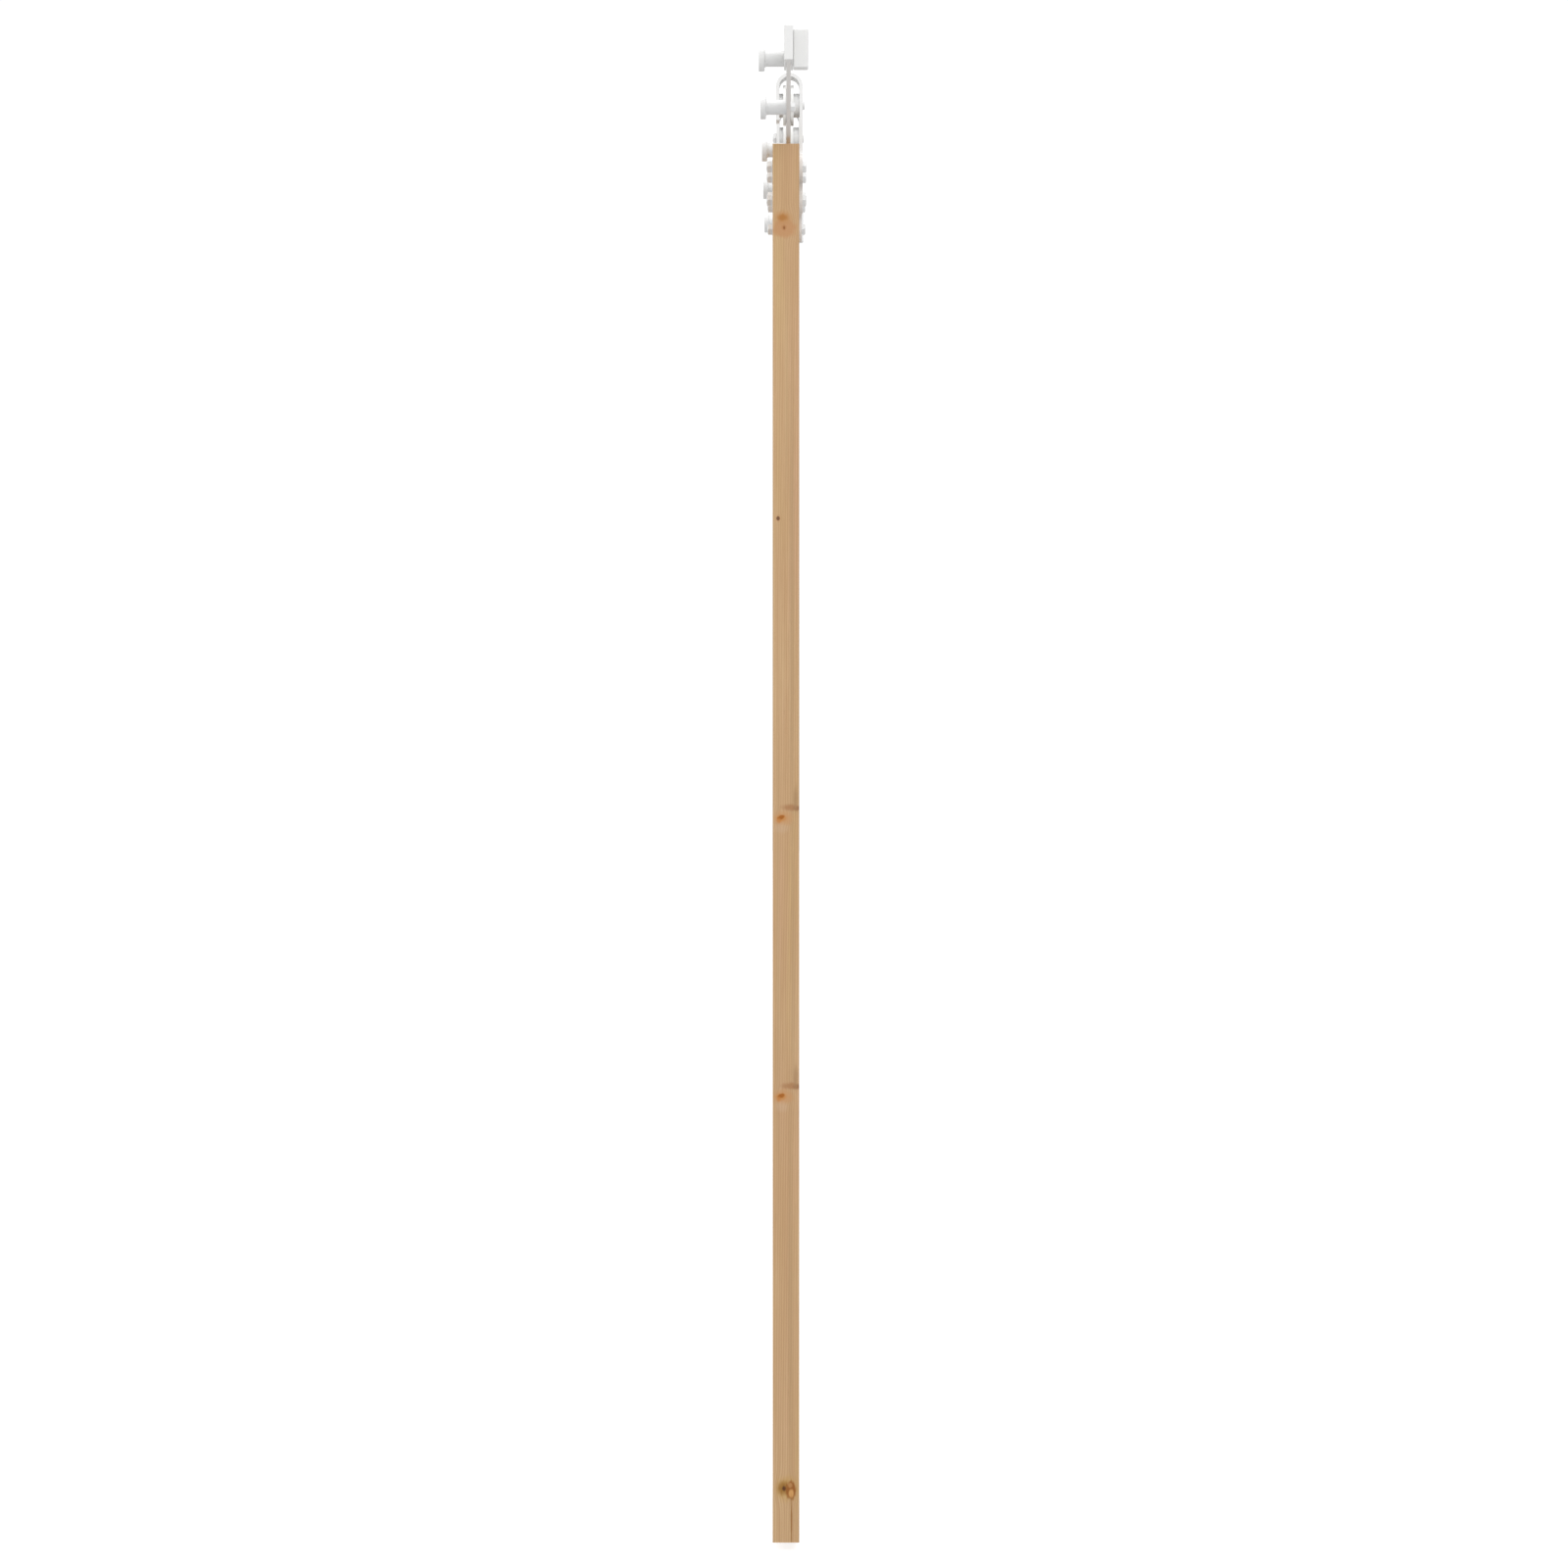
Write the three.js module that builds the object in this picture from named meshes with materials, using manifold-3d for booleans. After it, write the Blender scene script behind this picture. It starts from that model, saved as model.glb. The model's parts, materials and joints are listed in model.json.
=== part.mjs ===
// Top-hung sliding door with its rail-and-roller hardware set.
// A framed and boarded softwood leaf hangs from two strap hangers, whose
// grooved wheels run on the top edge of a flat steel rail. The rail stands off
// the wall on five flanged spacers, and each end of it carries a stop.
//
// Millimetres, +Z up. X runs along the rail, the wall plane is y = 0 and the
// room is on the -Y side. z = 0 is the middle of the rail's height.
import * as THREE from 'three';
import { mergeVertices } from 'three/addons/utils/BufferGeometryUtils.js';
import Module from 'manifold-3d';

const wasm = await Module();
wasm.setup();

// ---------------------------------------------------------------- dimensions
const GAP = 0.3;                 // clearance left between touching pieces

// rail
const RAIL_L = 2000;             // length
const RAIL_H = 40;               // height of the flat bar
const RAIL_T = 6;                // thickness
const RAIL_Y = -41;              // centre plane of the bar
const RAIL_FRONT = RAIL_Y - RAIL_T / 2;   // room side face, -44
const RAIL_BACK = RAIL_Y + RAIL_T / 2;    // wall side face, -38

// standoffs and their bolts
const PITCH = 450;               // standoff spacing along the rail
const FLANGE_R = 17.5, FLANGE_T = 8;
const SHANK_R = 11;
const WALL_BORE_R = 4.6;
const LAG_R = 4;                 // M8 wall bolt
const LAG_AF = 13, LAG_HEAD = 5.3;

// end stops
const STOP_IN = 931;             // inner face of the saddle, |x|
const SADDLE_OUT = 1020;         // outer face of the saddle, |x|
const BLOCK_IN = 963, BLOCK_OUT = 987;    // clamping block, |x|
const BLOCK_BOTTOM = -25.7;
const STOP_TOP = 27, STOP_BOTTOM = -20;
const SADDLE_T = 12.3;           // width across the saddle
const BLOCK_T = 20.2;            // depth of the block in front of it
const PAD_T = 5;                 // rubber pad on the saddle's inner face
const STOP_SCREW_X = 975, STOP_SCREW_Z = 1;

// door leaf
const DOOR_W = 600, DOOR_H = 2100, DOOR_T = 40;
const DOOR_X = 18;               // middle of the leaf at rest
const DOOR_Y = -37.4;            // middle of the leaf's thickness
const DOOR_TOP = -29.5;
const STILE_W = 90;
const TOP_RAIL_H = 120, LOCK_RAIL_H = 140, BOTTOM_RAIL_H = 180;
const LOCK_RAIL_Z = -1109.5;     // middle of the lock rail
const BOARD_T = 18, BOARDS = 4;
const GROOVE_D = 10;             // depth of the panel grooves
const TENON_T = 12, TENON_L = 40;

// hangers
const HANGER_X = 178;            // hangers either side of the leaf's middle
const AXLE_Z = 45.5;
const WHEEL_R = 30.5, WHEEL_W = 16, GROOVE_R = 25.3;
const STRAP_T = 5, STRAP_W = 40;
const ARCH_Y = -42.6, ARCH_Z = 72.3, ARCH_R = 20.2;
const STRAP_BACK_END = 20.8;     // where the wall side leg stops
const SPACER_R = 18;
const AXLE_R = 5;
const BEARING_R = 13, BEARING_W = 8;

// through bolts
const ARM_X = 59.5, ARM_Z = -56; // bolts in the strap's two arms
const FOOT_Z = -99.5;            // bolt in the strap's lower end
const LOBE_R = 20;               // rounded ends around the bolts
const ARM_FILLET = 14;           // between stem and arms
const BOLT_R = 5, BOLT_AF = 16, BOLT_HOLE_R = 5.4;
const BOLT_HEAD = 5.4;

// ------------------------------------------------------------------- helpers
function toManifold(geometry) {
  const g0 = geometry.index ? geometry.toNonIndexed() : geometry.clone();
  for (const name of Object.keys(g0.attributes)) if (name !== 'position') g0.deleteAttribute(name);
  const g = mergeVertices(g0, 1e-4);
  const p = g.attributes.position.array;
  const src = g.index.array;
  const tri = [];
  let volume = 0;
  for (let i = 0; i < src.length; i += 3) {
    const [a, b, c] = [src[i], src[i + 1], src[i + 2]];
    if (a === b || b === c || a === c) continue;
    tri.push(a, b, c);
    const A = new THREE.Vector3().fromArray(p, a * 3);
    const B = new THREE.Vector3().fromArray(p, b * 3);
    const C = new THREE.Vector3().fromArray(p, c * 3);
    volume += A.dot(B.cross(C)) / 6;
  }
  if (volume < 0) for (let i = 0; i < tri.length; i += 3) [tri[i + 1], tri[i + 2]] = [tri[i + 2], tri[i + 1]];
  return new wasm.Manifold(new wasm.Mesh({
    numProp: 3, vertProperties: new Float32Array(p), triVerts: new Uint32Array(tri),
  }));
}

// box by its limits
function box(x0, x1, y0, y1, z0, z1) {
  const g = new THREE.BoxGeometry(Math.abs(x1 - x0), Math.abs(y1 - y0), Math.abs(z1 - z0));
  g.translate((x0 + x1) / 2, (y0 + y1) / 2, (z0 + z1) / 2);
  return toManifold(g);
}

// solid of revolution about a line along Y, from [radius, y] points
function latheY(points, x, z, segments) {
  const pts = points.map(([r, y]) => new THREE.Vector2(r, y));
  if (points[0][0] > 0) pts.push(pts[0].clone());
  const g = new THREE.LatheGeometry(pts, segments);
  g.translate(x, 0, z);
  return toManifold(g);
}

function cylY(r, y0, y1, x, z, segments = 16) {
  return latheY([[0, y0], [r, y0], [r, y1], [0, y1]], x, z, segments);
}

// the same about a line along X, from [radius, x] points
function latheX(points, y, z, segments) {
  const pts = points.map(([r, x]) => new THREE.Vector2(r, x));
  if (points[0][0] > 0) pts.push(pts[0].clone());
  const g = new THREE.LatheGeometry(pts, segments);
  g.rotateZ(-Math.PI / 2);
  g.translate(0, y, z);
  return toManifold(g);
}

// hexagon across flats `af`, along Y
function hexY(af, y0, y1, x, z) {
  const g = new THREE.CylinderGeometry(af / Math.sqrt(3), af / Math.sqrt(3), Math.abs(y1 - y0), 6);
  g.rotateY(Math.PI / 6);        // flats to top and bottom
  g.translate(x, (y0 + y1) / 2, z);
  return toManifold(g);
}

// outline in (y, z), extruded along X
function prismX(outline, x0, x1) {
  const shape = new THREE.Shape(outline.map(([y, z]) => new THREE.Vector2(y, z)));
  const g = new THREE.ExtrudeGeometry(shape, { depth: x1 - x0, bevelEnabled: false });
  g.applyMatrix4(new THREE.Matrix4().set(0, 0, 1, x0, 1, 0, 0, 0, 0, 1, 0, 0, 0, 0, 0, 1));
  return toManifold(g);
}

// outline in (x, z), extruded along Y
function prismY(outline, y0, y1) {
  const shape = new THREE.Shape(outline.map(([x, z]) => new THREE.Vector2(x, z)));
  const g = new THREE.ExtrudeGeometry(shape, { depth: y1 - y0, bevelEnabled: false });
  g.applyMatrix4(new THREE.Matrix4().set(1, 0, 0, 0, 0, 0, 1, y0, 0, 1, 0, 0, 0, 0, 0, 1));
  return toManifold(g);
}

// outline in (x, y), extruded along Z
function prismZ(outline, z0, z1) {
  const shape = new THREE.Shape(outline.map(([x, y]) => new THREE.Vector2(x, y)));
  const g = new THREE.ExtrudeGeometry(shape, { depth: z1 - z0, bevelEnabled: false });
  g.translate(0, 0, z0);
  return toManifold(g);
}

function arc(cy, cz, r, a0, a1, n) {
  const out = [];
  for (let i = 0; i <= n; i++) {
    const a = THREE.MathUtils.degToRad(a0 + (a1 - a0) * i / n);
    out.push([cy + r * Math.cos(a), cz + r * Math.sin(a)]);
  }
  return out;
}

const FINISH = {
  white: { color: 0xf1f1ef, roughness: 0.45, metalness: 0.0 },
  zinc: { color: 0xb9bcc0, roughness: 0.35, metalness: 0.9 },
  rubber: { color: 0xe4e4e0, roughness: 0.85, metalness: 0.0 },
  pine: { color: 0xc9a577, roughness: 0.65, metalness: 0.0 },
};

const root = new THREE.Group();
function add(name, manifold, finish) {
  const m = manifold.getMesh();
  const g = new THREE.BufferGeometry();
  g.setAttribute('position', new THREE.BufferAttribute(new Float32Array(m.vertProperties), 3));
  g.setIndex(new THREE.BufferAttribute(new Uint32Array(m.triVerts), 1));
  const flat = g.toNonIndexed();
  flat.computeVertexNormals();
  const mesh = new THREE.Mesh(flat, new THREE.MeshStandardMaterial(FINISH[finish]));
  mesh.name = name;
  root.add(mesh);
}

const standoffX = [-2, -1, 0, 1, 2].map((i) => i * PITCH);

// ---------------------------------------------------------------------- rail
{
  const c = 0.8;
  const y0 = RAIL_FRONT, y1 = RAIL_BACK, h = RAIL_H / 2;
  let rail = prismX([
    [y0 + c, -h], [y1 - c, -h], [y1, -h + c], [y1, h - c],
    [y1 - c, h], [y0 + c, h], [y0, h - c], [y0, -h + c],
  ], -RAIL_L / 2, RAIL_L / 2);
  for (const x of standoffX) rail = rail.subtract(cylY(WALL_BORE_R, y0 - 2, y1 + 2, x, 0));
  for (const s of [-1, 1]) rail = rail.subtract(cylY(3.4, y0 - 2, y1 + 2, s * STOP_SCREW_X, STOP_SCREW_Z, 16));
  add('rail', rail, 'white');
}

// --------------------------------------------------- standoffs and rail bolts
standoffX.forEach((x, i) => {
  const end = RAIL_BACK + GAP;
  add(`standoff_${i + 1}`, latheY([
    [WALL_BORE_R, 0], [FLANGE_R, 0], [FLANGE_R, -FLANGE_T + 1.4],
    [FLANGE_R - 1.4, -FLANGE_T], [SHANK_R + 1.6, -FLANGE_T], [SHANK_R, -FLANGE_T - 1.6],
    [SHANK_R, end], [WALL_BORE_R, end],
  ], x, 0, 20), 'white');

  const under = RAIL_FRONT - GAP;
  const bolt = cylY(LAG_R, -1, under - 3, x, 0)
    .add(cylY(8, under, under - 1.4, x, 0))
    .add(hexY(LAG_AF, under - 1, under - 1.4 - LAG_HEAD, x, 0));
  add(`rail_bolt_${i + 1}`, bolt, 'white');
});

// ----------------------------------------------------------------- end stops
for (const [side, s] of [['left', -1], ['right', 1]]) {
  const saddleFront = RAIL_Y - SADDLE_T / 2, saddleBack = RAIL_Y + SADDLE_T / 2;
  const sx = s * STOP_SCREW_X;
  const slot = box(s * (STOP_IN - 20), s * (RAIL_L / 2 + GAP), RAIL_FRONT - GAP, RAIL_BACK + GAP,
    STOP_BOTTOM - 5, RAIL_H / 2 + GAP);
  const saddle = box(s * STOP_IN, s * SADDLE_OUT, saddleFront, saddleBack, STOP_BOTTOM, STOP_TOP)
    .subtract(slot)
    .subtract(cylY(3.4, saddleFront - 2, saddleBack + 2, sx, STOP_SCREW_Z, 16));
  add(`stop_saddle_${side}`, saddle, 'white');

  const pad = box(s * (STOP_IN - GAP - PAD_T), s * (STOP_IN - GAP), saddleFront, saddleBack, STOP_BOTTOM, STOP_TOP)
    .subtract(slot);
  add(`stop_pad_${side}`, pad, 'rubber');

  const b1 = saddleFront - GAP, b0 = b1 - BLOCK_T;
  const block = box(s * BLOCK_IN, s * BLOCK_OUT, b0, b1, BLOCK_BOTTOM, STOP_TOP)
    .subtract(cylY(3.4, b0 - 2, b1 + 2, sx, STOP_SCREW_Z, 16))
    .subtract(cylY(5.5, b0 - 2, b0 + 7, sx, STOP_SCREW_Z, 16));
  add(`stop_block_${side}`, block, 'white');

  const screw = cylY(3, b0 + 3, saddleBack - 0.2, sx, STOP_SCREW_Z, 16)
    .add(cylY(5, b0 + 0.6, b0 + 6.6, sx, STOP_SCREW_Z, 16))
    .subtract(hexY(5, b0 - 1, b0 + 3.8, sx, STOP_SCREW_Z));
  add(`stop_screw_${side}`, screw, 'white');
}

// ----------------------------------------------------------------- door leaf
const doorX0 = DOOR_X - DOOR_W / 2, doorX1 = DOOR_X + DOOR_W / 2;
const doorBottom = DOOR_TOP - DOOR_H;
const doorFront = DOOR_Y - DOOR_T / 2, doorBack = DOOR_Y + DOOR_T / 2;
const inner0 = doorX0 + STILE_W, inner1 = doorX1 - STILE_W;
const topRailBottom = DOOR_TOP - TOP_RAIL_H;
const lockTop = LOCK_RAIL_Z + LOCK_RAIL_H / 2, lockBottom = LOCK_RAIL_Z - LOCK_RAIL_H / 2;
const bottomRailTop = doorBottom + BOTTOM_RAIL_H;
const hangers = [['left', DOOR_X - HANGER_X], ['right', DOOR_X + HANGER_X]];
const bolts = hangers.flatMap(([, x]) => [[x - ARM_X, ARM_Z], [x + ARM_X, ARM_Z], [x, FOOT_Z]]);
const grooveHalf = BOARD_T / 2 + GAP;

// holes for the through bolts
function cutHardware(m) {
  for (const [x, z] of bolts) m = m.subtract(cylY(BOLT_HOLE_R, doorFront - 2, doorBack + 2, x, z));
  return m;
}
// tenon heights, kept clear of the bolts and the panel grooves
const tenons = [
  [topRailBottom + 14, DOOR_TOP - 50],
  [lockBottom + 25, lockTop - 25],
  [doorBottom + 40, bottomRailTop - 25],
];

for (const [side, s] of [['left', -1], ['right', 1]]) {
  const c = 1.5;
  const out = s < 0 ? doorX0 : doorX1, inn = s < 0 ? inner0 : inner1;
  let stile = prismZ([
    [inn, doorFront], [inn, doorBack], [out - s * c, doorBack], [out, doorBack - c],
    [out, doorFront + c], [out - s * c, doorFront],
  ], doorBottom, DOOR_TOP);
  stile = stile.subtract(box(inn + s * GROOVE_D, inn - s * 5, DOOR_Y - grooveHalf, DOOR_Y + grooveHalf,
    bottomRailTop - GROOVE_D, topRailBottom + GROOVE_D));
  for (const [z0, z1] of tenons) {
    stile = stile.subtract(box(inn - s * 5, inn + s * (TENON_L + 1), DOOR_Y - TENON_T / 2 - GAP, DOOR_Y + TENON_T / 2 + GAP,
      z0 - GAP, z1 + GAP));
  }
  add(`door_stile_${side}`, cutHardware(stile), 'pine');
}

function crossRail(name, z0, z1, tenon, grooveTop, grooveBottom) {
  let r = box(inner0 + GAP, inner1 - GAP, doorFront, doorBack, z0, z1)
    .add(box(inner0 - TENON_L, inner1 + TENON_L, DOOR_Y - TENON_T / 2, DOOR_Y + TENON_T / 2, tenon[0], tenon[1]));
  if (grooveTop) r = r.subtract(box(inner0 - 1, inner1 + 1, DOOR_Y - grooveHalf, DOOR_Y + grooveHalf, z1 - GROOVE_D, z1 + 5));
  if (grooveBottom) r = r.subtract(box(inner0 - 1, inner1 + 1, DOOR_Y - grooveHalf, DOOR_Y + grooveHalf, z0 - 5, z0 + GROOVE_D));
  add(name, cutHardware(r), 'pine');
}
crossRail('door_top_rail', topRailBottom, DOOR_TOP, tenons[0], false, true);
crossRail('door_lock_rail', lockBottom, lockTop, tenons[1], true, true);
crossRail('door_bottom_rail', doorBottom, bottomRailTop, tenons[2], true, false);

// tongued and grooved boards, with V joints on both faces
function boards(prefix, z0, z1) {
  const pitch = (inner1 - inner0) / BOARDS;
  const v = 2.5, t = BOARD_T / 2, tongue = 7, half = 2.5, g = GAP / 2;
  for (let i = 0; i < BOARDS; i++) {
    const first = i === 0, last = i === BOARDS - 1;
    const a = first ? inner0 - GROOVE_D + GAP : inner0 + i * pitch + g;
    const b = last ? inner1 + GROOVE_D - GAP : inner0 + (i + 1) * pitch - g;
    const pts = [];
    if (first) pts.push([a, DOOR_Y + t], [a, DOOR_Y - t]);
    else pts.push([a + v, DOOR_Y + t], [a, DOOR_Y + t - v], [a, DOOR_Y + half + GAP], [a + tongue + GAP, DOOR_Y + half + GAP],
      [a + tongue + GAP, DOOR_Y - half - GAP], [a, DOOR_Y - half - GAP], [a, DOOR_Y - t + v], [a + v, DOOR_Y - t]);
    if (last) pts.push([b, DOOR_Y - t], [b, DOOR_Y + t]);
    else pts.push([b - v, DOOR_Y - t], [b, DOOR_Y - t + v], [b, DOOR_Y - half], [b + tongue, DOOR_Y - half],
      [b + tongue, DOOR_Y + half], [b, DOOR_Y + half], [b, DOOR_Y + t - v], [b - v, DOOR_Y + t]);
    add(`${prefix}_${i + 1}`, prismZ(pts, z0 - GROOVE_D + GAP, z1 + GROOVE_D - GAP), 'pine');
  }
}
boards('board_upper', lockTop, topRailBottom);
boards('board_lower', bottomRailTop, lockBottom);

// -------------------------------------------------------------- through bolts
const strapFront = ARCH_Y - ARCH_R, strapBack = strapFront + STRAP_T;   // room side leg
bolts.forEach(([x, z], i) => {
  const head = strapFront - 0.2;
  const seat = doorBack + 0.2;
  add(`door_bolt_${i + 1}`, cylY(BOLT_R, -7.6, head - 3, x, z).add(hexY(BOLT_AF, head, head - BOLT_HEAD, x, z)), 'white');
  add(`door_nut_${i + 1}`, cylY(11, seat, seat + 1.6, x, z).add(hexY(BOLT_AF, seat + 1, seat + 9, x, z))
    .subtract(cylY(BOLT_R + 0.3, seat - 2, seat + 12, x, z)), 'white');
});

// -------------------------------------------------------------------- hangers
function point(cx, cz, r, deg) {
  const a = THREE.MathUtils.degToRad(deg);
  return [cx + r * Math.cos(a), cz + r * Math.sin(a)];
}
for (const [side, x] of hangers) {
  const ro = ARCH_R, ri = ARCH_R - STRAP_T;
  const yFrontOut = ARCH_Y - ro, yFrontIn = ARCH_Y - ri;
  const yBackOut = ARCH_Y + ro, yBackIn = ARCH_Y + ri;
  // side outline: wall side leg, arch and the upper part of the room side leg
  const outline = [
    [yBackIn, STRAP_BACK_END], [yBackOut, STRAP_BACK_END],
    ...arc(ARCH_Y, ARCH_Z, ro, 0, 180, 14),
    [yFrontOut, 0], [yFrontIn, 0],
    ...arc(ARCH_Y, ARCH_Z, ri, 180, 0, 12),
  ];
  // front outline: stem with two arms and a rounded lower end
  const w = STRAP_W / 2, f = ARM_FILLET, n = 6;
  const right = [[w, 4]];
  for (let i = 0; i <= 3; i++) right.push(point(w + f, ARM_Z + LOBE_R + f, f, 180 + 30 * i));
  for (let i = 0; i <= n; i++) right.push(point(ARM_X, ARM_Z, LOBE_R, 90 - 180 * i / n));
  for (let i = 0; i <= 3; i++) right.push(point(w + f, ARM_Z - LOBE_R - f, f, 90 + 30 * i));
  for (let i = 0; i < n / 2; i++) right.push(point(0, FOOT_Z, LOBE_R, -90 * i / (n / 2)));
  const left = right.slice().reverse().map(([a, b]) => [-a, b]);
  const face = [...right, [0, FOOT_Z - LOBE_R], ...left].map(([a, b]) => [x + a, b]);
  let strap = prismX(outline, x - w, x + w).add(prismY(face, yFrontOut, yFrontIn));
  strap = strap.subtract(cylY(AXLE_R + 0.3, yFrontOut - 2, yBackOut + 2, x, AXLE_Z));
  for (const [bx, bz] of [[-ARM_X, ARM_Z], [ARM_X, ARM_Z], [0, FOOT_Z]]) {
    strap = strap.subtract(cylY(BOLT_HOLE_R, yFrontOut - 2, yFrontIn + 2, x + bx, bz));
  }
  add(`hanger_strap_${side}`, strap, 'white');

  // grooved wheel: dished sides, deep groove that straddles the rail
  const ww = WHEEL_W / 2, c = RAIL_Y;
  add(`wheel_${side}`, latheY([
    [BEARING_R + 0.2, c + ww - 1.5], [17, c + ww - 1.5], [18.5, c + ww - 2.6], [23, c + ww - 2.6], [25.4, c + ww],
    [WHEEL_R, c + ww], [WHEEL_R, c + 3.9], [GROOVE_R, c + 3.6],
    [GROOVE_R, c - 3.6], [WHEEL_R, c - 3.9], [WHEEL_R, c - ww],
    [25.4, c - ww], [23, c - ww + 2.6], [18.5, c - ww + 2.6], [17, c - ww + 1.5], [BEARING_R + 0.2, c - ww + 1.5],
  ], x, AXLE_Z, 36), 'white');

  const bw = BEARING_W / 2;
  add(`bearing_${side}`, latheY([
    [AXLE_R + 0.25, c + bw], [BEARING_R, c + bw], [BEARING_R, c - bw], [AXLE_R + 0.25, c - bw],
  ], x, AXLE_Z, 18), 'zinc');

  const bore = AXLE_R + 0.3, boss = 7.2;
  add(`wheel_spacer_back_${side}`, latheY([
    [bore, yBackIn - GAP], [SPACER_R, yBackIn - GAP], [SPACER_R, c + ww + 0.5], [boss, c + ww + 0.5], [boss, c + bw + GAP], [bore, c + bw + GAP],
  ], x, AXLE_Z, 20), 'white');
  add(`wheel_spacer_front_${side}`, latheY([
    [bore, yFrontIn + GAP], [SPACER_R, yFrontIn + GAP], [SPACER_R, c - ww - 0.5], [boss, c - ww - 0.5], [boss, c - bw - GAP], [bore, c - bw - GAP],
  ], x, AXLE_Z, 20), 'white');

  const headY = yFrontOut - 0.2;
  add(`axle_bolt_${side}`, cylY(AXLE_R, -16.2, headY - 1, x, AXLE_Z)
    .add(cylY(6.2, headY, headY - 2.8, x, AXLE_Z))
    .subtract(hexY(5, headY - 1.2, headY - 4, x, AXLE_Z)), 'white');
  add(`axle_nut_${side}`, hexY(BOLT_AF, yBackOut + 0.2, yBackOut + 5.4, x, AXLE_Z)
    .subtract(cylY(AXLE_R + 0.3, yBackOut - 1, yBackOut + 7, x, AXLE_Z)), 'white');
}

export default root;
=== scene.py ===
"""Looks of the top-hung sliding door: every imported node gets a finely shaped
piece in its place, with procedural materials. Metres, same frame as the CAD."""
import bpy
import bmesh
import json
import math
import random
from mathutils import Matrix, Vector


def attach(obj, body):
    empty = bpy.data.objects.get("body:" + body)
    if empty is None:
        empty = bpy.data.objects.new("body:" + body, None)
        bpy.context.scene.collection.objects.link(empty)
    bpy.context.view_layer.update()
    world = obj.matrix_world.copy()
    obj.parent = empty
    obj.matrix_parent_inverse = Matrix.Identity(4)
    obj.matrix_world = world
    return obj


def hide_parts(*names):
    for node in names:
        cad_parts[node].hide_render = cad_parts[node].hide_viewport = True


MM = 0.001
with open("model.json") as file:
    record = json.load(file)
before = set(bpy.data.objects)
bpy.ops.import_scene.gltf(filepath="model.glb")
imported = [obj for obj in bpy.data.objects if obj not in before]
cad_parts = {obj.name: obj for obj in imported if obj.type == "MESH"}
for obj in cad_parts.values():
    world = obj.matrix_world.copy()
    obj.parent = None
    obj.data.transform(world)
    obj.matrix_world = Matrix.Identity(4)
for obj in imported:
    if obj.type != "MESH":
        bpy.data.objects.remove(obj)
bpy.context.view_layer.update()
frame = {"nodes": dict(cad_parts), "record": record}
nodes = frame["nodes"]
BODY = {}
for body, members in frame["record"]["behaviour"]["bodies"].items():
    for n in members:
        BODY[n] = body
SLOT = {s["node"]: s["material_slot"] for s in frame["record"]["subparts"]}
scene = bpy.context.scene
collection = scene.collection


# ------------------------------------------------------------------ mesh tools
def link_mesh(name, bm):
    me = bpy.data.meshes.new(name)
    bm.normal_update()
    bm.to_mesh(me)
    bm.free()
    ob = bpy.data.objects.new(name, me)
    collection.objects.link(ob)
    return ob


def apply_modifiers(ob):
    bpy.context.view_layer.update()
    deps = bpy.context.evaluated_depsgraph_get()
    me = bpy.data.meshes.new_from_object(ob.evaluated_get(deps))
    old = ob.data
    ob.modifiers.clear()
    ob.data = me
    bpy.data.meshes.remove(old)
    return ob


def boolean(ob, others, op):
    for other in others:
        m = ob.modifiers.new("join", "BOOLEAN")
        m.operation = op
        m.solver = "EXACT"
        m.object = other
    apply_modifiers(ob)
    for other in others:
        bpy.data.objects.remove(other)
    return ob


def cut(ob, *others):
    return boolean(ob, others, "DIFFERENCE")


def join(ob, *others):
    return boolean(ob, others, "UNION")


def smooth(ob, angle=34):
    ob.data.shade_smooth()
    ob.data.set_sharp_from_angle(angle=math.radians(angle))
    m = ob.modifiers.new("normals", "WEIGHTED_NORMAL")
    m.keep_sharp = True
    m.weight = 60
    return apply_modifiers(ob)


def bevel(ob, width, segments=3, angle=34):
    """Rounds every edge sharper than angle by width millimetres."""
    m = ob.modifiers.new("round", "BEVEL")
    m.limit_method = "ANGLE"
    m.angle_limit = math.radians(angle)
    m.width = width * MM
    m.segments = segments
    m.use_clamp_overlap = True
    m.miter_outer = "MITER_ARC"
    apply_modifiers(ob)
    return smooth(ob, 40)


def prism(outline, axis, a, b, name="prism"):
    """A closed prism from an outline in the two other axes, in millimetres."""
    bm = bmesh.new()

    def place(u, v, t):
        if axis == "X":
            return (t * MM, u * MM, v * MM)
        if axis == "Y":
            return (u * MM, t * MM, v * MM)
        return (u * MM, v * MM, t * MM)

    lo = [bm.verts.new(place(u, v, a)) for u, v in outline]
    hi = [bm.verts.new(place(u, v, b)) for u, v in outline]
    n = len(outline)
    bm.faces.new(lo)
    bm.faces.new(list(reversed(hi)))
    for i in range(n):
        j = (i + 1) % n
        bm.faces.new((lo[i], lo[j], hi[j], hi[i]))
    bmesh.ops.recalc_face_normals(bm, faces=bm.faces)
    return link_mesh(name, bm)


def block(x0, x1, y0, y1, z0, z1):
    return prism([(x0, y0), (x1, y0), (x1, y1), (x0, y1)], "Z", z0, z1)


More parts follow.
